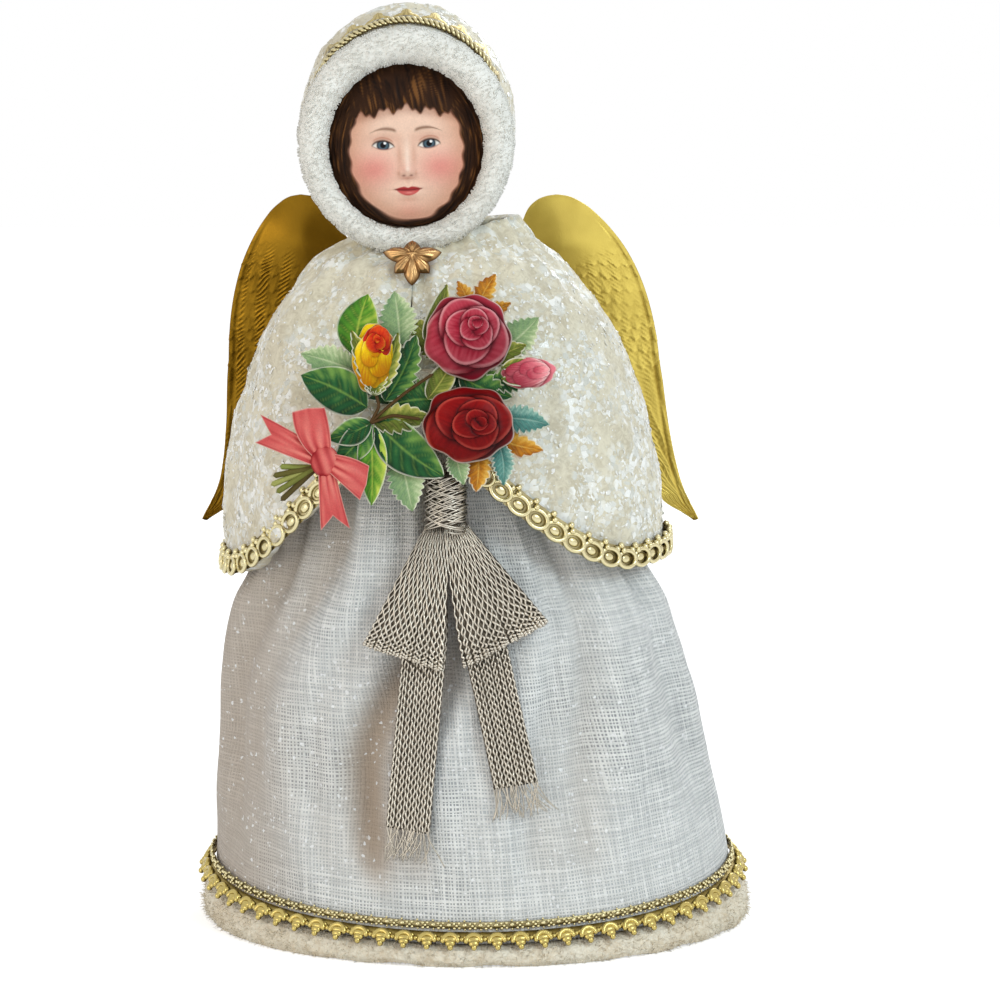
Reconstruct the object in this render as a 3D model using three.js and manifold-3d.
// Angel tree topper: a rolled card cone, padded with cotton, dressed in gauze and batting,
// with embossed paper wings and trims, a paper bouquet and a tinsel ribbon bow.
// Millimetres. The figure stands on z = 0 and faces -Y; +X is the viewer's right.
import * as THREE from "three";
import { mergeVertices } from "three/addons/utils/BufferGeometryUtils.js";
import Module from "manifold-3d";

const wasm = await Module();
wasm.setup();

// Fits
const CLEAR = 0.3;
const LEAN_DEG = 4.6;

// Card cone, which is the tree socket, and the dowel that it grips
const CONE_HEIGHT = 165;
const CONE_BASE_HALF_WIDTH = 60;
const CONE_BASE_HALF_DEPTH = 43;
const CONE_WALL = 1.2;
const DOWEL_RADIUS = 3;
const DOWEL_GRIP = 38;
const DOWEL_IN_HEAD = 24;

// Heights, measured from the neck downwards
const NECK_RISE = 13;
const WAIST_DROP = 60;
const CAPE_DROP = 82.5;
const CAPE_APEX_DROP = 38;
const HIP_BELOW_CAPE = 14;

// Cotton padding over the cone
const PAD_HEM = 7.8;
const PAD_KNEE = 16.8;
const PAD_HIP = 22.5;
const PAD_UNDER_CAPE = 21;
const PAD_WAIST = 19.7;
const PAD_DEPTH_SHARE = 0.78;
const PETTICOAT_LIFT = 2;

// Gauze skirt
const GAUZE = 0.8;
const GAUZE_EASE = 0.8;
const GAUZE_ABOVE_WAIST = 7;
const FOLDS = 14;
const FOLD_DEPTH = 2.2;
const TIE_RADIUS = 0.7;

// Hem band and the two paper borders over it
const HEM_LINE_FRONT = 6;
const HEM_LINE_RISE = 7;
const BAND_BULGE = 4.3;
const BORDER_PAPER = 0.7;
const BEAD_BORDER_HEIGHT = 2.3;
const SCALLOP_PITCH = 5.7;
const SCALLOP_DROP = 3.2;
const SCALLOP_RISE = 2.6;

// Batting cape
const CAPE_THICK = 3.4;
const CAPE_OVER_SKIRT = 1.2;
const CAPE_PAD_CHEST = 36.2;
const CAPE_PAD_ARM = 38.1;
const CAPE_PAD_SHOULDER = 35.4;
const CAPE_PAD_COLLAR = 28;
const CAPE_PAD_NECK = 20;
const CAPE_DEPTH_SHARE = 0.77;
const CAPE_SLIT_DEG = 1.3;
const CAPE_OPEN_AT_DEG = -9;
const CAPE_OPEN_SPAN_DEG = 66;
const CAPE_TILT = 2.2;
const CAPE_SHIFT = 4;
const COLLAR_RISE = 1;
const COLLAR_TILT = 2.3;
const NECKLINE_DIP = 5;
const NECKLINE_AT_DEG = -17;
const BORDER_START_DEG = 7;
const BODICE_EASE = 0.9;
const CAPE_BORDER_WIDTH = 5.4;
const CAPE_BORDER_OVERHANG = 0.9;

// Head, bonnet and the plush roll round the face
const HEAD_SHIFT = -0.9;
const HOOD_RISE = 28.5;
const HOOD_HALF_WIDTH = 27.8;
const HOOD_HALF_HEIGHT = 31;
const HOOD_BACK = 27;
const HOOD_FRONT = 12;
const HOOD_RIM_SHARE = 0.93;
const HOOD_THICK = 3.5;
const NECK_HOLE = 9;
const ROLL_HALF_WIDTH = 23.3;
const ROLL_HALF_HEIGHT = 24.4;
const ROLL_RADIUS = 4;
const ROLL_SWELL = 0.8;
const ROLL_DROP = 4.3;
const CARD = 0.6;
const FACE_HALF_WIDTH = 21;
const FACE_HALF_HEIGHT = 21;
const FACE_BULGE = 3.4;
const BRAID_WIDTH = 4.6;
const BRAID_THICK = 0.9;

// Leaf at the throat
const THROAT_LEAF_RADIUS = 7;
const THROAT_LEAF_TILT_DEG = 30;
const FOIL = 0.6;

// Wings, folded along a crease beside the glued pad
const WING_FOIL = 0.7;
const WING_TOP = 9;
const WING_LENGTH = 90.5;
const WING_TIP_REACH = 68.5;
const WING_ROOT = 9.5;
const LEFT_WING = { top: 32.5, reach: 57.5, roundness: 0.77 };
const RIGHT_WING = { top: 36.6, reach: 61, roundness: 1 };
const WING_TILT_DEG = 11;
const WING_STANDOFF = 3.4;
const WING_FEATHERS = 6;
const FEATHER_RELIEF = 0.8;
const WING_CUSHION = 2.4;
const WING_PAD_HEIGHT = 30;
const WING_PAD_DROP = 41;

// Bouquet of layered die cuts
const BOUQUET_SIDE = 0.4;
const BOUQUET_DROP = 35.7;
const BOUQUET_TILT_DEG = 13;
const BOUQUET_STANDOFF = 5;
const DIE_CUT = 0.8;
const LAYER = 1.1;
const ROSE_RADIUS = 10.2;
const ROSE_HEIGHT = 4.4;

// Ribbon bow
const KNOT_SIDE = 1.5;
const KNOT_RADIUS = 3.3;
const KNOT_HEIGHT = 14.4;
const KNOT_BELOW_WAIST = 9;
const WRAP_TURNS = 6;
const WRAP_RADIUS = 0.7;
const RIBBON = 0.5;
const RIBBON_WIDTH = 10.9;
const LOOP_LAYER = 3.9;
const TAIL_LAYER = 0.9;
const LEFT_LOOP_REACH = 10.4;
const LEFT_LOOP_DROP = 31;
const LEFT_LOOP_WIDTH = 20.5;
const RIGHT_LOOP_REACH = 14.6;
const RIGHT_LOOP_DROP = 28;
const RIGHT_LOOP_WIDTH = 23;
const LEFT_TAIL_DRIFT = 8.2;
const RIGHT_TAIL_DRIFT = 16.4;
const LEFT_TAIL_LENGTH = 80;
const RIGHT_TAIL_LENGTH = 69;

const AROUND = 44;
const SKIRT_AROUND = 56;
const rad = THREE.MathUtils.degToRad;
const mix = THREE.MathUtils.lerp;
const clamp = THREE.MathUtils.clamp;
const ease = THREE.MathUtils.smoothstep;

// Worked-out heights
const neckZ = CONE_HEIGHT + NECK_RISE;
const waistZ = neckZ - WAIST_DROP;
const capeHemZ = neckZ - CAPE_DROP;
const capeApexZ = neckZ - CAPE_APEX_DROP;
const hipZ = capeHemZ - HIP_BELOW_CAPE;
const kneeZ = hipZ / 2;
const hoodZ = neckZ + HOOD_RISE;
const spineX = (z) => -Math.tan(rad(LEAN_DEG)) * z;

// A smooth run through [height, size] pairs, level beyond both ends
function profile(pairs) {
  const slope = (i) => {
    const a = pairs[Math.max(0, i - 1)];
    const b = pairs[Math.min(pairs.length - 1, i + 1)];
    return (b[1] - a[1]) / (b[0] - a[0]);
  };
  return (z) => {
    const last = pairs.length - 1;
    if (z <= pairs[0][0]) return pairs[0][1];
    if (z >= pairs[last][0]) return pairs[last][1];
    const i = pairs.findIndex((pair) => pair[0] > z) - 1;
    const span = pairs[i + 1][0] - pairs[i][0];
    const t = (z - pairs[i][0]) / span;
    const h = t * t * (3 - 2 * t);
    const bend0 = t * (1 - t) * (1 - t) * span * slope(i);
    const bend1 = t * t * (t - 1) * span * slope(i + 1);
    return mix(pairs[i][1], pairs[i + 1][1], h) + bend0 + bend1;
  };
}

// Closed solids from grids of points
function solidFrom(positions, index) {
  const geometry = new THREE.BufferGeometry();
  geometry.setAttribute("position", new THREE.Float32BufferAttribute(positions.flat(), 3));
  let volume = 0;
  const corner = [0, 1, 2].map(() => new THREE.Vector3());
  for (let i = 0; i < index.length; i += 3) {
    corner.forEach((c, k) => c.fromArray(positions[index[i + k]]));
    volume += corner[0].dot(corner[1].clone().cross(corner[2]));
  }
  if (volume < 0) index.reverse();
  geometry.setIndex(index);
  return geometry;
}

// A loop of points carried once round the body
function ringSolid(around, across, pointAt) {
  const positions = [];
  const index = [];
  for (let i = 0; i < around; i++) {
    for (let j = 0; j < across; j++) {
      positions.push(pointAt(i / around, j));
      const a = i * across + j;
      const b = i * across + ((j + 1) % across);
      const c = ((i + 1) % around) * across + ((j + 1) % across);
      const d = ((i + 1) % around) * across + j;
      index.push(a, b, c, a, c, d);
    }
  }
  return solidFrom(positions, index);
}

// A sheet with a front and a back face, closed by walls on all four edges
function sheetSolid(nu, nv, frontAt, backAt) {
  const positions = [];
  const index = [];
  const at = (side, i, j) => side * (nu + 1) * (nv + 1) + j * (nu + 1) + i;
  for (const face of [frontAt, backAt]) {
    for (let j = 0; j <= nv; j++) {
      for (let i = 0; i <= nu; i++) positions.push(face(i / nu, j / nv));
    }
  }
  const quad = (a, b, c, d) => index.push(a, b, c, a, c, d);
  for (let j = 0; j < nv; j++) {
    for (let i = 0; i < nu; i++) {
      quad(at(0, i, j), at(0, i + 1, j), at(0, i + 1, j + 1), at(0, i, j + 1));
      quad(at(1, i, j), at(1, i, j + 1), at(1, i + 1, j + 1), at(1, i + 1, j));
    }
  }
  for (let i = 0; i < nu; i++) {
    quad(at(0, i, 0), at(1, i, 0), at(1, i + 1, 0), at(0, i + 1, 0));
    quad(at(0, i, nv), at(0, i + 1, nv), at(1, i + 1, nv), at(1, i, nv));
  }
  for (let j = 0; j < nv; j++) {
    quad(at(0, 0, j), at(0, 0, j + 1), at(1, 0, j + 1), at(1, 0, j));
    quad(at(0, nu, j), at(1, nu, j), at(1, nu, j + 1), at(0, nu, j + 1));
  }
  return solidFrom(positions, index);
}

// A round plate between two relief faces; rim(angle) is its outline
function plateSolid(rings, sectors, rim, top, bottom) {
  const positions = [];
  const index = [];
  const at = (side, k, i) => side * (1 + rings * sectors) + (k === 0 ? 0 : 1 + (k - 1) * sectors + (i % sectors));
  for (const face of [top, bottom]) {
    positions.push([0, 0, face(0, 0)]);
    for (let k = 1; k <= rings; k++) {
      for (let i = 0; i < sectors; i++) {
        const angle = (2 * Math.PI * i) / sectors;
        const [rx, ry] = rim(angle);
        positions.push([(rx * k) / rings, (ry * k) / rings, face(k / rings, angle)]);
      }
    }
  }
  for (let i = 0; i < sectors; i++) {
    index.push(at(0, 0, 0), at(0, 1, i), at(0, 1, i + 1));
    index.push(at(1, 0, 0), at(1, 1, i + 1), at(1, 1, i));
    for (let k = 1; k < rings; k++) {
      index.push(at(0, k, i), at(0, k + 1, i), at(0, k + 1, i + 1));
      index.push(at(0, k, i), at(0, k + 1, i + 1), at(0, k, i + 1));
      index.push(at(1, k, i), at(1, k + 1, i + 1), at(1, k + 1, i));
      index.push(at(1, k, i), at(1, k, i + 1), at(1, k + 1, i + 1));
    }
    index.push(at(0, rings, i), at(1, rings, i), at(1, rings, i + 1));
    index.push(at(0, rings, i), at(1, rings, i + 1), at(0, rings, i + 1));
  }
  return solidFrom(positions, index);
}

// Joining and cutting
function toSolid(geometry) {
  const bare = geometry.clone();
  bare.deleteAttribute("normal");
  bare.deleteAttribute("uv");
  const merged = mergeVertices(bare, 1e-4);
  const mesh = new wasm.Mesh({
    numProp: 3,
    vertProperties: new Float32Array(merged.attributes.position.array),
    triVerts: new Uint32Array(merged.index.array),
  });
  return new wasm.Manifold(mesh);
}

function toGeometry(solid) {
  const mesh = solid.getMesh();
  const geometry = new THREE.BufferGeometry();
  geometry.setAttribute("position", new THREE.Float32BufferAttribute(mesh.vertProperties, 3));
  geometry.setIndex(Array.from(mesh.triVerts));
  return geometry;
}

const joined = (list) => toGeometry(list.map(toSolid).reduce((sum, next) => sum.add(next)));
const cutBy = (body, tool) => toGeometry(toSolid(body).subtract(toSolid(tool)));

// Finishes
function finish(color, roughness, metalness = 0) {
  return new THREE.MeshStandardMaterial({ color, roughness, metalness });
}
const kraft = finish(0xb79a73, 0.9);
const birch = finish(0xd9bf93, 0.75);
const cotton = finish(0xece8da, 0.95);
const gauze = finish(0xd6d9d8, 0.9);
const batting = finish(0xdcdfd0, 0.85);
const plush = finish(0xe6e6d8, 0.98);
const silverGold = finish(0xbfb795, 0.4, 0.7);
const gold = finish(0xb08c34, 0.35, 0.85);
const copperGold = finish(0xa87a45, 0.35, 0.8);
const tinsel = finish(0x8d8169, 0.35, 0.8);
const linen = finish(0xe7e0cc, 0.9);

const angel = new THREE.Group();
angel.name = "angel_tree_topper";
function add(name, geometry, material) {
  const mesh = new THREE.Mesh(geometry, material.clone());
  mesh.name = name;
  angel.add(mesh);
}

// The body's layers: half width and half depth at a height, and a point on a layer at an angle
// measured from the front towards the viewer's right
const coneTip = DOWEL_RADIUS + CLEAR + CONE_WALL;
const coneWide = (z) => mix(CONE_BASE_HALF_WIDTH, coneTip, clamp(z / CONE_HEIGHT, 0, 1));
const coneDeep = (z) => mix(CONE_BASE_HALF_DEPTH, coneTip, clamp(z / CONE_HEIGHT, 0, 1));
const pad = profile([
  [0, PAD_HEM],
  [kneeZ, PAD_KNEE],
  [hipZ, PAD_HIP],
  [capeHemZ, PAD_UNDER_CAPE],
  [waistZ, PAD_WAIST],
]);
const padWide = (z) => coneWide(z) + pad(z);
const padDeep = (z) => coneDeep(z) + pad(z) * PAD_DEPTH_SHARE;
const on = (wide, deep, angle, z) => [spineX(z) + wide * Math.sin(angle), -deep * Math.cos(angle), z];
const turn = (share) => share * 2 * Math.PI;
const hemLine = (angle) => HEM_LINE_FRONT + HEM_LINE_RISE * (1 - Math.max(0, Math.cos(angle)));

// Card cone and dowel
add("base_cone", ringSolid(AROUND, 4, (u, j) => {
  const z = j === 0 || j === 3 ? 0 : CONE_HEIGHT;
  const inset = j > 1 ? CONE_WALL : 0;
  return on(coneWide(z) - inset, coneDeep(z) - inset, turn(u), z);
}), kraft);

const dowelBottom = CONE_HEIGHT - DOWEL_GRIP;
const dowelTop = hoodZ - HOOD_HALF_HEIGHT + HOOD_THICK + DOWEL_IN_HEAD;
const dowelAxis = [dowelBottom, dowelTop].map((z) => new THREE.Vector3(spineX(z), 0, z));
function alongDowel(radius, reach) {
  const up = dowelAxis[1].clone().sub(dowelAxis[0]).normalize();
  const path = new THREE.LineCurve3(dowelAxis[0], dowelAxis[1].clone().addScaledVector(up, reach));
  const round = new THREE.Shape().absarc(0, 0, radius, 0, 2 * Math.PI);
  return new THREE.ExtrudeGeometry(round, { steps: 1, extrudePath: path, curveSegments: 8 });
}
add("neck_dowel", alongDowel(DOWEL_RADIUS, 0), birch);

// Padding below the waist
const PAD_LEVELS = 6;
const petticoatTop = waistZ;
add("petticoat", ringSolid(AROUND, PAD_LEVELS + 3, (u, j) => {
  if (j > PAD_LEVELS) {
    const z = j === PAD_LEVELS + 1 ? petticoatTop : PETTICOAT_LIFT;
    return on(coneWide(z) + CLEAR, coneDeep(z) + CLEAR, turn(u), z);
  }
  const z = mix(PETTICOAT_LIFT, petticoatTop, j / PAD_LEVELS);
  return on(padWide(z), padDeep(z), turn(u), z);
}), cotton);

// Gauze skirt in soft folds that open from the waist and run out above the hem
const skirtTop = waistZ + GAUZE_ABOVE_WAIST;
const foldSize = profile([
  [HEM_LINE_FRONT + HEM_LINE_RISE + 6, 0],
  [kneeZ, FOLD_DEPTH * 0.6],
  [hipZ, FOLD_DEPTH],
  [waistZ, FOLD_DEPTH * 0.5],
]);
function fold(angle, z) {
  const wave = 0.5 + 0.5 * Math.cos(FOLDS * angle + 0.9 * Math.sin(3 * angle + 0.4) + 0.006 * z);
  return foldSize(z) * wave * (0.75 + 0.25 * Math.sin(5 * angle + 1));
}
const skirtInner = GAUZE_EASE;
const skirtOuter = GAUZE_EASE + GAUZE;
const SKIRT_LEVELS = 8;
add("skirt", ringSolid(SKIRT_AROUND, 2 * SKIRT_LEVELS, (u, j) => {
  const outer = j < SKIRT_LEVELS;
  const level = outer ? j : 2 * SKIRT_LEVELS - 1 - j;
  const angle = turn(u);
  const z = mix(hemLine(angle) - 0.6, skirtTop, level / (SKIRT_LEVELS - 1));
  const out = (outer ? skirtOuter : skirtInner) + fold(angle, z);
  return on(padWide(z) + out, padDeep(z) + out, angle, z);
}), gauze);
const skirtMost = (z) => skirtOuter + foldSize(z);
const tieZ = waistZ + GAUZE_ABOVE_WAIST / 2;
add("waist_tie", ringSolid(AROUND, 4, (u, j) => {
  const out = skirtMost(tieZ) + CLEAR + TIE_RADIUS * (1 + Math.cos((j * Math.PI) / 2));
  const z = tieZ + TIE_RADIUS * Math.sin((j * Math.PI) / 2);
  return on(padWide(tieZ) + out, padDeep(tieZ) + out, turn(u), z);
}), linen);

// Cotton band at the hem, flat underneath, and the paper borders that cover its top edge
const bandSection = (top) => [
  [CLEAR, 0],
  [BAND_BULGE - 1.4, 0],
  [BAND_BULGE - 0.2, 0.25 * top],
  [BAND_BULGE, 0.5 * top],
  [BAND_BULGE - 0.9, 0.8 * top],
  [BAND_BULGE - 2.4, top],
  [CLEAR, top],
];
add("hem_band", ringSolid(AROUND, 7, (u, j) => {
  const angle = turn(u);
  const [out, z] = bandSection(hemLine(angle) - 0.6 - CLEAR)[j];
  const seat = Math.max(z, PETTICOAT_LIFT);
  return on(padWide(seat) + out, padDeep(seat) + out, angle, z);
}), cotton);

const beadLow = SCALLOP_RISE + 0.5;
add("hem_bead_border", ringSolid(SKIRT_AROUND, 4, (u, j) => {
  const angle = turn(u);
  const z = hemLine(angle) + beadLow + (j === 1 || j === 2 ? BEAD_BORDER_HEIGHT : 0);
  const out = skirtMost(z) + CLEAR + (j > 1 ? BORDER_PAPER : 0);
  return on(padWide(z) + out, padDeep(z) + out, angle, z);
}), silverGold);

const hemRound = Math.PI * (padWide(0) + padDeep(0) + 2 * BAND_BULGE);
const scallops = Math.round(hemRound / SCALLOP_PITCH);
const SCALLOP_STEPS = 2;
add("hem_scallop_border", ringSolid(scallops * SCALLOP_STEPS, 4, (u, j) => {
  const angle = turn(u);
  const droop = 0.5 + 0.5 * Math.cos(turn(u) * scallops);
  const low = j === 0 || j === 3;
  const z = hemLine(angle) + (low ? -SCALLOP_DROP * (0.35 + 0.65 * droop) : SCALLOP_RISE);
  const lean = clamp((hemLine(angle) + SCALLOP_RISE - z) / (SCALLOP_DROP + SCALLOP_RISE), 0, 1);
  const out = mix(skirtOuter, BAND_BULGE + 0.4, Math.sqrt(lean)) + CLEAR + (j > 1 ? BORDER_PAPER : 0);
  return on(padWide(z) + out, padDeep(z) + out, angle, z);
}), silverGold);

// Cape: open below the chest, tied edge to edge above
const overSkirt = skirtMost(capeHemZ) + CAPE_OVER_SKIRT + CAPE_THICK;
const capePad = (skirtPad, share) => profile([
  [capeHemZ, skirtPad + overSkirt],
  [mix(capeHemZ, neckZ, 0.3), CAPE_PAD_CHEST * share],
  [mix(capeHemZ, neckZ, 0.6), CAPE_PAD_ARM * share],
  [mix(capeHemZ, neckZ, 0.8), CAPE_PAD_SHOULDER * share],
  [mix(capeHemZ, neckZ, 0.925), CAPE_PAD_COLLAR * share],
  [neckZ, CAPE_PAD_NECK * share],
]);
const capePadWide = capePad(PAD_UNDER_CAPE, 1);
const capePadDeep = capePad(PAD_UNDER_CAPE * PAD_DEPTH_SHARE, CAPE_DEPTH_SHARE);
const capeWide = (z) => coneWide(z) + capePadWide(z);
const capeDeep = (z) => coneDeep(z) + capePadDeep(z);
const capeShift = (z) => CAPE_SHIFT * clamp((z - capeHemZ) / CAPE_DROP, 0, 1);
const capeX = (z) => spineX(z) + capeShift(z);
const onCape = (wide, deep, angle, z) => [capeX(z) + wide * Math.sin(angle), -deep * Math.cos(angle), z];
const openAt = rad(CAPE_OPEN_AT_DEG);
function capeEdge(angle) {
  const away = Math.acos(clamp(Math.cos(angle - openAt), -1, 1));
  const shut = Math.sin((Math.PI / 2) * Math.min(1, away / rad(CAPE_OPEN_SPAN_DEG)));
  return capeHemZ + CAPE_TILT * Math.sin(angle) + (capeApexZ - capeHemZ) * (1 - shut);
}
const capeAngle = (u) => openAt + mix(rad(CAPE_SLIT_DEG), 2 * Math.PI - rad(CAPE_SLIT_DEG), u);
function capePoint(u, v, inset) {
  const angle = capeAngle(u);
  const dip = NECKLINE_DIP * Math.max(0, Math.cos(angle - rad(NECKLINE_AT_DEG))) ** 4;
  const neckline = neckZ + COLLAR_RISE + COLLAR_TILT * Math.sin(angle) - dip;
  const z = mix(neckline, capeEdge(angle), Math.pow(v, 0.85));
  return onCape(capeWide(z) - inset, capeDeep(z) - inset, angle, z);
}
add("cape", sheetSolid(46, 7, (u, v) => capePoint(u, v, 0), (u, v) => capePoint(u, v, CAPE_THICK)), batting);

// Padded bodice under the cape, closed over the cone's tip
const bodiceTop = neckZ - 7;
const bodiceLow = waistZ + CLEAR;
const bodiceInset = CAPE_THICK + BODICE_EASE;
function bodiceOut(z, body, padding) {
  const chest = body(z) - bodiceInset - 2 * ease(z, neckZ - 22, bodiceTop);
  return mix(Math.min(padding(waistZ) - 5.5, chest), chest, ease(z, skirtTop, skirtTop + 16));
}
const BODICE_LEVELS = 5;
add("bodice", ringSolid(AROUND, BODICE_LEVELS + 5, (u, j) => {
  const angle = turn(u);
  if (j <= BODICE_LEVELS) {
    const z = mix(bodiceLow, bodiceTop, j / BODICE_LEVELS);
    return onCape(bodiceOut(z, capeWide, padWide), bodiceOut(z, capeDeep, padDeep), angle, z);
  }
  const above = CONE_HEIGHT + CLEAR;
  const [out, z] = [
    [DOWEL_RADIUS + CLEAR, bodiceTop],
    [DOWEL_RADIUS + CLEAR, above],
    [coneTip + CLEAR, above],
    [0, bodiceLow],
  ][j - BODICE_LEVELS - 1];
  if (out > 0) return on(out, out, angle, z);
  return on(coneWide(z) + CLEAR, coneDeep(z) + CLEAR, angle, z);
}), cotton);

// Paper border along each front edge and hem of the cape
function capeBorder(side) {
  const start = openAt + side * rad(CAPE_SLIT_DEG + BORDER_START_DEG);
  const end = Math.PI * side;
  const edgeAt = (angle) => {
    const z = capeEdge(angle);
    return new THREE.Vector3(...onCape(capeWide(z), capeDeep(z), angle, z));
  };
  const samples = Array.from({ length: 201 }, (_, k) => mix(start, end, k / 200));
  const run = [0];
  samples.slice(1).forEach((angle, k) => run.push(run[k] + edgeAt(angle).distanceTo(edgeAt(samples[k]))));
  const total = run[200];
  const count = Math.round(total / SCALLOP_PITCH);
  const angleAt = (length) => {
    const k = clamp(run.findIndex((value) => value >= length) - 1, 0, 199);
    return mix(samples[k], samples[k + 1], (length - run[k]) / (run[k + 1] - run[k]));
  };
  const place = (u, v, lift) => {
    const angle = angleAt(u * total * 0.9999);
    const here = edgeAt(angle);
    const along = edgeAt(angle + side * 0.01).sub(edgeAt(angle - side * 0.01)).normalize();
    const z = here.z;
    const x = here.x - capeX(z);
    const normal = new THREE.Vector3(x / capeWide(z) ** 2, here.y / capeDeep(z) ** 2, 0.002).normalize();
    const up = normal.clone().cross(along).multiplyScalar(side).normalize();
    const wave = 0.5 - 0.5 * Math.cos(2 * Math.PI * count * u);
    const across = v === 0 ? -CAPE_BORDER_OVERHANG * (0.3 + 0.7 * wave) : v * (CAPE_BORDER_WIDTH - CAPE_BORDER_OVERHANG);
    const foot = here.addScaledVector(up, across);
    const rel = (foot.x - capeX(foot.z)) / capeWide(foot.z);
    const seat = foot.y / capeDeep(foot.z);
    const grow = Math.max(1, 1 / Math.hypot(rel, seat));
    foot.x = capeX(foot.z) + rel * capeWide(foot.z) * grow;
    foot.y = seat * capeDeep(foot.z) * grow;
    return foot.addScaledVector(normal, lift).toArray();
  };
  const rise = CLEAR + 0.25;
  return sheetSolid(count * 2, 1, (u, v) => place(u, v, rise + BORDER_PAPER), (u, v) => place(u, v, rise));
}
add("cape_border_left", capeBorder(-1), silverGold);
add("cape_border_right", capeBorder(1), silverGold);

// Head: a spun-cotton ball with a flat front, inside a batting bonnet
const headX = spineX(hoodZ) + HEAD_SHIFT;
function hoodShare(y) {
  if (y > 0) return Math.sqrt(Math.max(0, 1 - (y / HOOD_BACK) ** 2));
  return 1 - (1 - HOOD_RIM_SHARE) * (y / HOOD_FRONT) ** 2;
}
const rimDrop = (y) => ROLL_DROP * clamp(-y / HOOD_FRONT, 0, 1);
function hoodProfile(inset, front) {
  const steps = 5;
  const points = [];
  for (let k = 0; k <= steps; k++) {
    const bend = (Math.PI / 2) * (k / steps);
    const share = (HOOD_HALF_WIDTH - inset) / HOOD_HALF_WIDTH;
    points.push(new THREE.Vector2(Math.sin(bend) * share, Math.cos(bend) * (HOOD_BACK - inset)));
  }
  const share = hoodShare(front) - inset / HOOD_HALF_WIDTH;
  points.push(new THREE.Vector2(share, front));
  points[0].x = 0;
  return points;
}
function headLathe(points) {
  const geometry = new THREE.LatheGeometry(points, 30);
  geometry.scale(HOOD_HALF_WIDTH, 1, HOOD_HALF_HEIGHT);
  geometry.translate(headX, 0, hoodZ);
  const bare = geometry.clone();
  bare.deleteAttribute("normal");
  bare.deleteAttribute("uv");
  const merged = mergeVertices(bare, 1e-4);
  const corners = merged.attributes.position;
  const positions = Array.from({ length: corners.count }, (_, k) => {
    const [x, y, z] = new THREE.Vector3().fromBufferAttribute(corners, k);
    return [x, y, z - rimDrop(y)];
  });
  const faces = Array.from(merged.index.array);
  const kept = [];
  for (let k = 0; k < faces.length; k += 3) {
    const [a, b, c] = faces.slice(k, k + 3);
    if (a !== b && b !== c && c !== a) kept.push(a, b, c);
  }
  return solidFrom(positions, kept);
}
const hoodShell = headLathe([...hoodProfile(0, -HOOD_FRONT), ...hoodProfile(HOOD_THICK, -HOOD_FRONT).reverse()]);
const neckCut = new THREE.CylinderGeometry(NECK_HOLE, NECK_HOLE, HOOD_HALF_HEIGHT, 24);
neckCut.rotateX(Math.PI / 2);
neckCut.translate(headX, 0, hoodZ - HOOD_HALF_HEIGHT);
add("hood", cutBy(hoodShell, neckCut), batting);

const coreFront = -HOOD_FRONT;
const coreProfile = hoodProfile(HOOD_THICK + CLEAR, coreFront);
coreProfile.push(new THREE.Vector2(0, coreFront));
add("head_core", cutBy(headLathe(coreProfile), alongDowel(DOWEL_RADIUS + CLEAR, CLEAR)), cotton);

// Plush roll round the face, thicker over the brow than under the chin
const rollZ = hoodZ - ROLL_DROP;
const rollY = -HOOD_FRONT - ROLL_RADIUS - ROLL_SWELL - CLEAR;
add("hood_roll", ringSolid(36, 6, (u, j) => {
  const angle = turn(u);
  const thick = ROLL_RADIUS + ROLL_SWELL * Math.cos(angle);
  const section = (j * Math.PI) / 3;
  const reach = thick * Math.cos(section);
  const x = headX + (ROLL_HALF_WIDTH + reach) * Math.sin(angle);
  const z = rollZ + (ROLL_HALF_HEIGHT + reach) * Math.cos(angle);
  return [x, rollY + thick * Math.sin(section), z];
}), plush);

// Domed paper face with a plain embossed relief: hair, brow, nose, cheeks, lips, chin
const bump = (x, z, cx, cz, wx, wz) => Math.exp(-(((x - cx) / wx) ** 2) - (((z - cz) / wz) ** 2));
function faceRelief(share, angle) {
  const x = share * Math.sin(angle);
  const z = share * Math.cos(angle);
  const side = Math.abs(x);
  let out = FACE_BULGE * (1 - share * share);
  out += 0.9 * bump(x, z, 0, -0.12, 0.1, 0.2);
  out += 0.4 * bump(side, z, 0.34, -0.22, 0.22, 0.2);
  out += 0.4 * bump(x, z, 0, -0.42, 0.2, 0.07);
  out += 0.4 * bump(x, z, 0, -0.66, 0.2, 0.14);
  out -= 0.4 * bump(side, z, 0.3, 0.08, 0.16, 0.09);
  return out + 0.8 * ease(share, 0.72, 0.86) * ease(z, -0.3, 0.2);
}
const faceSeat = -HOOD_FRONT - CLEAR;
const faceRim = (angle) => [FACE_HALF_WIDTH * Math.sin(angle), FACE_HALF_HEIGHT * Math.cos(angle)];
const faceCard = plateSolid(6, 20, faceRim, (s, a) => faceRelief(s, a) + CARD, (s, a) => faceRelief(s, a) * (1 - s ** 8));
faceCard.rotateX(Math.PI / 2);
faceCard.translate(headX, faceSeat, rollZ);
add("face_card", faceCard, finish(0xd9a98a, 0.55));

// Gold braid on the bonnet just behind the roll
const braidBack = -HOOD_FRONT + BRAID_WIDTH + 1;
add("hood_border", ringSolid(40, 4, (u, j) => {
  const angle = turn(u);
  const y = j === 0 || j === 3 ? -HOOD_FRONT + 1 : braidBack + 0.8 * Math.cos(20 * angle);
  const out = CLEAR + 0.2 + (j > 1 ? BRAID_THICK : 0);
  const x = headX + (HOOD_HALF_WIDTH * hoodShare(y) + out) * Math.sin(angle);
  const z = hoodZ - rimDrop(y) + (HOOD_HALF_HEIGHT * hoodShare(y) + out) * Math.cos(angle);
  return [x, y, z];
}), gold);

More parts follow.
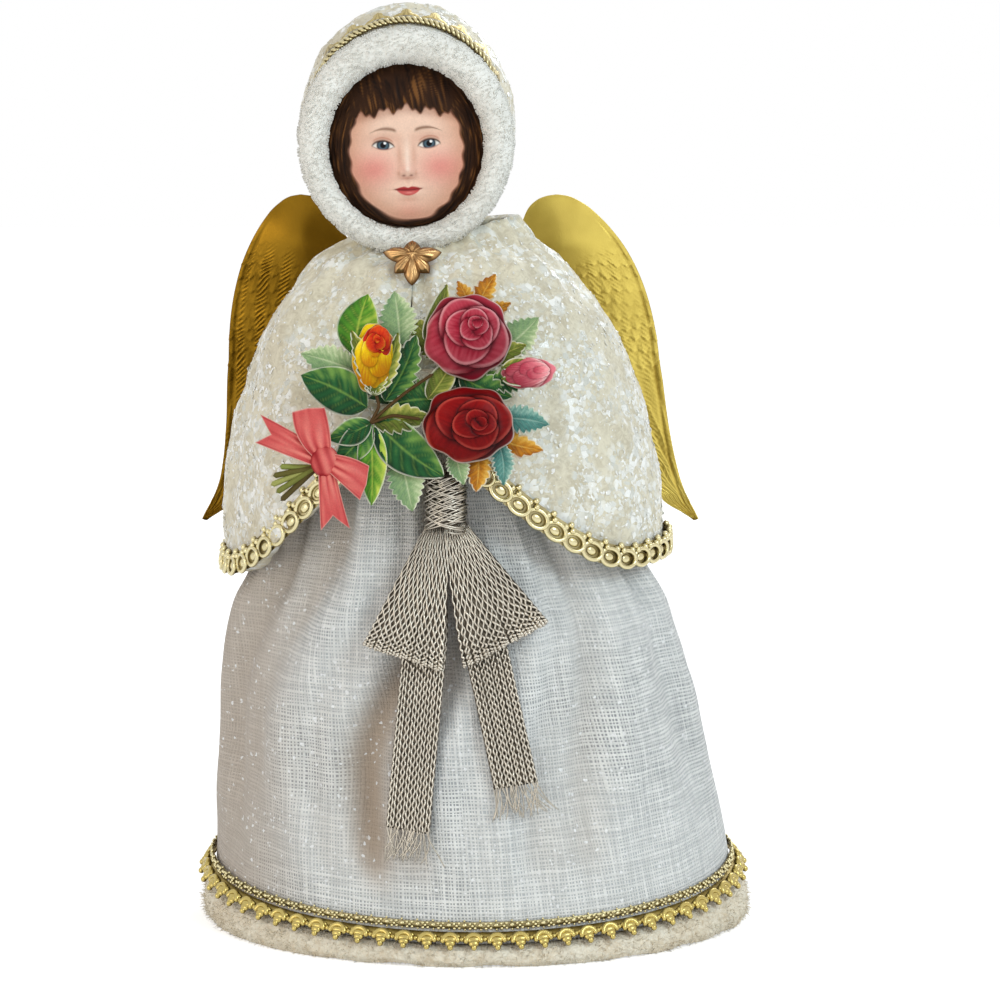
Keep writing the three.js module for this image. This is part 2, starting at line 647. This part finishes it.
// Embossed five-lobed leaf at the throat, laid on the cape's collar
const leafTip = neckZ - 11.2;
const leafTilt = rad(THROAT_LEAF_TILT_DEG);
const leafRim = (angle) => {
  const lobe = 0.66 + 0.34 * Math.pow(Math.abs(Math.cos(2.5 * angle)), 0.7);
  return [THROAT_LEAF_RADIUS * lobe * Math.sin(angle), -THROAT_LEAF_RADIUS * lobe * Math.cos(angle)];
};
const leafDome = (s, a) => 1.1 * (1 - s * s) + 0.35 * s * (1 - s) * Math.cos(10 * a);
const throatLeaf = plateSolid(3, 30, leafRim, (s, a) => leafDome(s, a) + FOIL, (s, a) => leafDome(s, a));
throatLeaf.rotateX(Math.PI / 2 - leafTilt);
const leafDeep = capeDeep(leafTip) + CLEAR + 0.5 - THROAT_LEAF_RADIUS * Math.sin(leafTilt);
throatLeaf.translate(spineX(leafTip) - 2.3, -leafDeep, leafTip + THROAT_LEAF_RADIUS * Math.cos(leafTilt));
add("throat_leaf", throatLeaf, copperGold);

// Wings: each is a long embossed feather sheet from a round shoulder to a flicked tip
const wingTop = neckZ + WING_TOP;
const wingPadZ = neckZ - WING_PAD_DROP;
const wingSlope = Math.tan(rad(WING_TILT_DEG));
const wingPlane = (z) => capeDeep(wingPadZ) + WING_STANDOFF + wingSlope * (wingPadZ - z);
const shoulderCurve = profile([
  [0, 0], [0.015, 0.18], [0.04, 0.33], [0.1, 0.55], [0.175, 0.73], [0.28, 0.88], [0.41, 0.97], [0.56, 1],
]);
const tipCurve = profile([[0.5, 0], [0.72, 0.18], [0.86, 0.43], [0.93, 0.68], [1, 1]]);
function wingEdges(v, side) {
  const { top, reach, roundness } = side < 0 ? LEFT_WING : RIGHT_WING;
  const down = Math.pow(v, 1.6);
  const outer = mix(top, reach, shoulderCurve(down * roundness)) + (WING_TIP_REACH - reach) * tipCurve(down);
  const inner = profile([
    [0, top - 1.2],
    [0.012, top - 4.4],
    [0.035, top - 7.6],
    [0.1, mix(WING_ROOT, top, 0.56)],
    [0.28, WING_ROOT],
    [0.58, WING_ROOT],
    [0.7, mix(WING_ROOT, reach, 0.32)],
    [0.82, mix(WING_ROOT, reach, 0.7)],
    [1, WING_TIP_REACH - 1],
  ])(down);
  const tips = ease(down, 0.56, 0.62) * (1 - ease(down, 0.92, 1)) * 2.4 * Math.abs(Math.sin(down * 34));
  return [Math.max(WING_ROOT, inner - tips), outer, wingTop - WING_LENGTH * down];
}
function wingPoint(side, u, v, offset) {
  const [inner, outer, z] = wingEdges(v, side);
  const reach = mix(inner, outer, u);
  const cushion = WING_CUSHION * Math.sin(Math.PI * u) * (1 - ease(v, 0.25, 0.9));
  const rib = Math.abs(Math.sin(Math.PI * WING_FEATHERS * u)) * ease(v, 0.3, 0.5) * (1 - ease(v, 0.85, 1));
  const out = (cushion + FEATHER_RELIEF * rib) * ease(u, 0.1, 0.4);
  return [spineX(z) + side * reach, wingPlane(z) - out + offset, z];
}
function wing(side) {
  const at = (offset) => (u, v) => wingPoint(side, u, v, offset);
  return sheetSolid(10, 17, at(-WING_FOIL / 2), at(WING_FOIL / 2));
}
add("left_wing", wing(-1), gold);
add("right_wing", wing(1), gold);
function padPoint(u, v, y) {
  const z = wingPadZ + WING_PAD_HEIGHT * (v - 0.5);
  const rel = (WING_ROOT - CLEAR) * (2 * u - 1);
  return [spineX(z) + rel, y(z, rel), z];
}
add("wing_pad", sheetSolid(8, 6,
  (u, v) => padPoint(u, v, (z, rel) => capeDeep(z) * Math.sqrt(1 - ((rel - capeShift(z)) / capeWide(z)) ** 2) + CLEAR + 0.2),
  (u, v) => padPoint(u, v, (z) => wingPlane(z) + WING_FOIL / 2)), kraft);

// Bouquet plane: local x to the viewer's right, local y up the card, local z out of it
const bouquetZ = neckZ - BOUQUET_DROP;
const bouquetX = spineX(bouquetZ) + BOUQUET_SIDE;
const bouquetY = -capeDeep(bouquetZ) - BOUQUET_STANDOFF - 2 * CLEAR - LAYER;
const bouquetTilt = rad(BOUQUET_TILT_DEG);
const bouquetPlace = new THREE.Matrix4().makeRotationX(Math.PI / 2 - bouquetTilt).setPosition(bouquetX, bouquetY, bouquetZ);
const onBouquet = (geometry) => geometry.clone().applyMatrix4(bouquetPlace);

// A pointed leaf as a flat cut, with toothed edges where teeth is above zero
function leafCut(x, y, length, width, angleDeg, level, teeth = 0) {
  const shape = new THREE.Shape();
  const steps = teeth > 0 ? 2 * teeth : 8;
  const half = (t) => (width / 2) * Math.pow(Math.sin(Math.PI * Math.pow(t, 0.8)), 0.8);
  const edge = (k) => half(k / steps) * (teeth > 0 && k % 2 === 0 ? 0.62 : 1);
  shape.moveTo(0.4, 0);
  for (let k = 1; k < steps; k++) shape.lineTo(edge(k) + 0.2, (length * k) / steps);
  shape.lineTo(0, length);
  for (let k = steps - 1; k > 0; k--) shape.lineTo(-edge(k) - 0.2, (length * k) / steps);
  shape.lineTo(-0.4, 0);
  const geometry = new THREE.ExtrudeGeometry(shape, { depth: DIE_CUT, bevelEnabled: false });
  geometry.rotateZ(rad(angleDeg));
  geometry.translate(x, y, level);
  return geometry;
}
function ovalCut(x, y, rx, ry, level) {
  const shape = new THREE.Shape().absellipse(x, y, rx, ry, 0, 2 * Math.PI);
  return new THREE.ExtrudeGeometry(shape, { depth: DIE_CUT, bevelEnabled: false, curveSegments: 10 }).translate(0, 0, level);
}
const R = ROSE_RADIUS;
const fernLevel = -LAYER;
add("bouquet_ferns", onBouquet(joined([
  ovalCut(-0.2 * R, 0.2 * R, 1.5 * R, 1.6 * R, fernLevel),
  leafCut(-0.7 * R, 1.2 * R, 1.4 * R, 0.75 * R, 12, fernLevel, 6),
  leafCut(-1.2 * R, 0.9 * R, 2 * R, 0.62 * R, 82, fernLevel, 6),
  leafCut(-0.5 * R, -1 * R, 1.75 * R, 0.8 * R, 172, fernLevel, 6),
  leafCut(0.9 * R, 1.2 * R, 1.6 * R, 0.7 * R, -48, fernLevel, 6),
  leafCut(1 * R, -0.4 * R, 1.9 * R, 0.6 * R, -98, fernLevel, 6),
])), finish(0x9aa568, 0.6));
const leafLevel = fernLevel + LAYER;
add("bouquet_leaves", onBouquet(joined([
  ovalCut(0, 0.1 * R, 1.35 * R, 1.45 * R, leafLevel),
  leafCut(-1 * R, 0.9 * R, 1.75 * R, 0.75 * R, 32, leafLevel, 7),
  leafCut(-0.1 * R, 1.2 * R, 1.6 * R, 0.42 * R, -8, leafLevel),
  leafCut(-1 * R, -0.1 * R, 2.1 * R, 0.85 * R, 96, leafLevel, 7),
  leafCut(-1 * R, -0.6 * R, 2 * R, 0.62 * R, 172, leafLevel),
  leafCut(-0.2 * R, -0.9 * R, 1.35 * R, 0.95 * R, 140, leafLevel, 6),
  leafCut(1.1 * R, 0.4 * R, 2.1 * R, 0.7 * R, -78, leafLevel),
  leafCut(1.1 * R, -0.3 * R, 1.8 * R, 0.55 * R, -105, leafLevel, 5),
  leafCut(-1 * R, -0.4 * R, 2.2 * R, 0.9 * R, 122, leafLevel),
])), finish(0x55682e, 0.55));
[
  ["autumn_leaf_top", 0.9 * R, 1.5 * R, 1.4 * R, 0.8 * R, -28],
  ["autumn_leaf_right", 1.1 * R, -0.8 * R, 1.5 * R, 0.8 * R, -112],
  ["autumn_leaf_low", 0.55 * R, -1.1 * R, 1.15 * R, 0.7 * R, -158],
].forEach(([name, x, y, length, width, angle]) => {
  add(name, onBouquet(leafCut(x, y, length, width, angle, fernLevel - LAYER, 5)), finish(0xc27c2c, 0.5));
});

// Embossed roses: petals wrap in a spiral over a dome
const roseLevel = leafLevel + LAYER;
function rose(x, y, rx, ry, height, petals) {
  const rim = (a) => {
    const lobe = 1 + 0.06 * Math.cos(petals * a + 0.7);
    return [rx * lobe * Math.cos(a), ry * lobe * Math.sin(a)];
  };
  const top = (s, a) => {
    const whorl = Math.cos(petals * a + 9 * s);
    return DIE_CUT + height * Math.pow(Math.max(0, 1 - s * s), 0.7) + 0.5 * whorl * Math.sin(Math.PI * Math.min(1, s));
  };
  const geometry = plateSolid(petals, 4 * petals, rim, top, () => 0);
  return onBouquet(geometry.translate(x, y, roseLevel));
}
add("pink_rose", rose(0.9 * R, 1.38 * R, R, R, ROSE_HEIGHT, 5), finish(0xa8484c, 0.5));
add("red_rose", rose(0.92 * R, -0.72 * R, 1.05 * R, 0.86 * R, ROSE_HEIGHT, 5), finish(0x7d1a18, 0.5));
add("yellow_rosebud", rose(-1.15 * R, 0.85 * R, 0.56 * R, 0.86 * R, 0.7 * ROSE_HEIGHT, 3), finish(0xc68e26, 0.5));
add("pink_rosebud", rose(2.35 * R, 0.5 * R, 0.62 * R, 0.32 * R, 0.5 * ROSE_HEIGHT, 3), finish(0xc66a66, 0.5));

// Paper bow and the bound stalks at the bouquet's foot
const bowX = -2.5 * R;
const bowY = -1.6 * R;
const bowLevel = leafLevel + LAYER;
function bowCut(points, level) {
  const shape = new THREE.Shape();
  shape.moveTo(points[0][0], points[0][1]);
  points.slice(1).forEach((p) => (p.length === 2 ? shape.lineTo(p[0], p[1]) : shape.quadraticCurveTo(...p)));
  const geometry = new THREE.ExtrudeGeometry(shape, { depth: DIE_CUT, bevelEnabled: false, curveSegments: 5 });
  return geometry.scale(R, R, 1).translate(bowX, bowY, level);
}
const bowLeft = [[0, -0.1], [-0.9, -0.02, -1.7, 0.45], [-1.62, 0.8], [-1.74, 1.08], [-0.7, 0.85, 0.06, 0.12]];
const bowUp = [[-0.16, 0.02], [-0.5, 0.6, -0.78, 1.1], [-0.3, 1.35, 0.16, 1.2], [0.2, 0.6, 0.14, 0.02]];
const bowRight = [[0.02, -0.14], [0.3, -0.9, 0.78, -1.02], [1.06, -0.7, 1.02, -0.12], [0.5, 0.14, 0.02, 0.12]];
const bowDown = [[-0.14, 0.04], [-0.36, -0.8, -0.28, -1.72], [0.06, -1.42], [0.4, -1.66], [0.26, -0.8, 0.16, 0.02]];
add("bouquet_bow", onBouquet(joined([
  bowCut(bowLeft, bowLevel),
  bowCut(bowUp, bowLevel),
  bowCut(bowRight, bowLevel),
  bowCut(bowDown, bowLevel),
  ovalCut(bowX, bowY, 0.34 * R, 0.32 * R, bowLevel).scale(1, 1, 1.6).translate(0, 0, -0.6 * bowLevel),
])), finish(0xd67a6c, 0.5));
add("bouquet_stems", onBouquet(joined([
  leafCut(bowX + 0.2 * R, bowY + 0.05 * R, 2.35 * R, 0.24 * R, 108, fernLevel),
  leafCut(bowX + 0.2 * R, bowY + 0.05 * R, 2.4 * R, 0.24 * R, 116, fernLevel),
  leafCut(bowX + 0.2 * R, bowY + 0.05 * R, 2.3 * R, 0.24 * R, 124, fernLevel),
])), finish(0x8a7a45, 0.6));

// Foam pad between the cape and the bouquet
const padHalf = 11;
function spacerPoint(u, v, face) {
  const local = new THREE.Vector3(padHalf * (2 * u - 1), padHalf * 1.1 * (v - 0.5), fernLevel - CLEAR);
  const front = local.applyMatrix4(bouquetPlace);
  if (face === "front") return front.toArray();
  const rel = (front.x - capeX(front.z)) / capeWide(front.z);
  return [front.x, -capeDeep(front.z) * Math.sqrt(1 - rel * rel) - CLEAR, front.z];
}
add("bouquet_spacer", sheetSolid(8, 5, (u, v) => spacerPoint(u, v, "front"), (u, v) => spacerPoint(u, v, "back")), linen);

// Ribbon: the skirt's front as the ribbons lie on it
function skirtFront(x, z, lift) {
  const rel = (x - spineX(z)) / (padWide(z) + skirtMost(z));
  return -(padDeep(z) + skirtMost(z)) * Math.sqrt(1 - rel * rel) - lift;
}
const knotLow = waistZ - KNOT_BELOW_WAIST;
const knotX = spineX(knotLow) + KNOT_SIDE;
const wrapOut = KNOT_RADIUS + CLEAR + 2 * WRAP_RADIUS;
const knotY = skirtFront(knotX, knotLow, CLEAR + 0.2 + wrapOut);
const knotShape = [
  [0, 0],
  [KNOT_RADIUS, 0],
  [KNOT_RADIUS, KNOT_HEIGHT - 1],
  [KNOT_RADIUS * 0.7, KNOT_HEIGHT],
  [0, KNOT_HEIGHT],
].map(([x, y]) => new THREE.Vector2(x, y));
const knotCore = new THREE.LatheGeometry(knotShape, 20).rotateX(Math.PI / 2).translate(knotX, knotY, knotLow);
add("ribbon_knot", knotCore, tinsel);

class Winding extends THREE.Curve {
  getPoint(t) {
    const reach = KNOT_RADIUS + CLEAR + WRAP_RADIUS;
    const angle = 2 * Math.PI * WRAP_TURNS * t;
    const low = knotLow + WRAP_RADIUS + 0.2;
    const z = mix(low, knotLow + KNOT_HEIGHT - WRAP_RADIUS - 1, t) + 0.22 * KNOT_RADIUS * Math.cos(angle);
    return new THREE.Vector3(knotX + reach * Math.cos(angle), knotY - reach * Math.sin(angle), z);
  }
}
const winding = new Winding();
const strand = new THREE.Shape(Array.from({ length: 6 }, (_, k) => {
  const angle = (k * Math.PI) / 3;
  return new THREE.Vector2(WRAP_RADIUS * Math.cos(angle), WRAP_RADIUS * Math.sin(angle));
}));
add("knot_wrap", new THREE.ExtrudeGeometry(strand, { steps: 24 * WRAP_TURNS, extrudePath: winding }), tinsel);
const windingPoints = Array.from({ length: 48 * WRAP_TURNS + 1 }, (_, k) => winding.getPoint(k / (48 * WRAP_TURNS)));
let leastGap = Infinity;
windingPoints.forEach((p, i) => {
  for (let k = i + 24; k < windingPoints.length; k++) leastGap = Math.min(leastGap, p.distanceTo(windingPoints[k]));
});
console.log(`knot_wrap: least gap between turns ${(leastGap - 2 * WRAP_RADIUS).toFixed(2)} mm`);

// Two flared ribbon loops below the knot
function ribbonLoop(side, reachOut, drop, width, slant) {
  const tipX = knotX + side * reachOut;
  const tipZ = knotLow - drop;
  const topX = knotX + side * 1.7;
  const topZ = knotLow - CLEAR - 0.5;
  const at = (u, v, half) => {
    const reach = Math.sin(Math.PI * v);
    const across = (u - 0.5) * mix(2.6, width, Math.pow(reach, 0.9));
    const flare = Math.sin(slant) * across * reach;
    const x = mix(topX, tipX, reach) + across * Math.cos(slant * reach);
    const z = mix(topZ, tipZ, reach) + flare;
    const puff = Math.cos(Math.PI * v) * (0.75 + 2 * reach * (1 - reach) + half);
    return [x, skirtFront(x, z, LOOP_LAYER + puff), z - half * Math.sin(Math.PI * v)];
  };
  return sheetSolid(4, 14, (u, v) => at(u, v, RIBBON / 2), (u, v) => at(u, v, -RIBBON / 2));
}
add("ribbon_loop_left", ribbonLoop(-1, LEFT_LOOP_REACH, LEFT_LOOP_DROP, LEFT_LOOP_WIDTH, -0.28), tinsel);
add("ribbon_loop_right", ribbonLoop(1, RIGHT_LOOP_REACH, RIGHT_LOOP_DROP, RIGHT_LOOP_WIDTH, 0.46), tinsel);

// Two tails that hang from the knot behind the loops
function ribbonTail(side, drift, length) {
  const topX = knotX + side * 1.9;
  const topZ = knotLow - CLEAR - 0.6;
  const at = (u, v, lift) => {
    const width = mix(2.6, RIBBON_WIDTH, ease(v, 0, 0.38));
    const x = topX + drift * Math.pow(v, 0.9) + (u - 0.5) * width;
    const z = topZ - length * v + 1.6 * side * (u - 0.5) * ease(v, 0.6, 1);
    return [x, skirtFront(x, z, TAIL_LAYER + lift), z];
  };
  return sheetSolid(3, 14, (u, v) => at(u, v, RIBBON), (u, v) => at(u, v, 0));
}
add("ribbon_tail_left", ribbonTail(-1, -LEFT_TAIL_DRIFT, LEFT_TAIL_LENGTH), tinsel);
add("ribbon_tail_right", ribbonTail(1, RIGHT_TAIL_DRIFT, RIGHT_TAIL_LENGTH), tinsel);

export default angel;
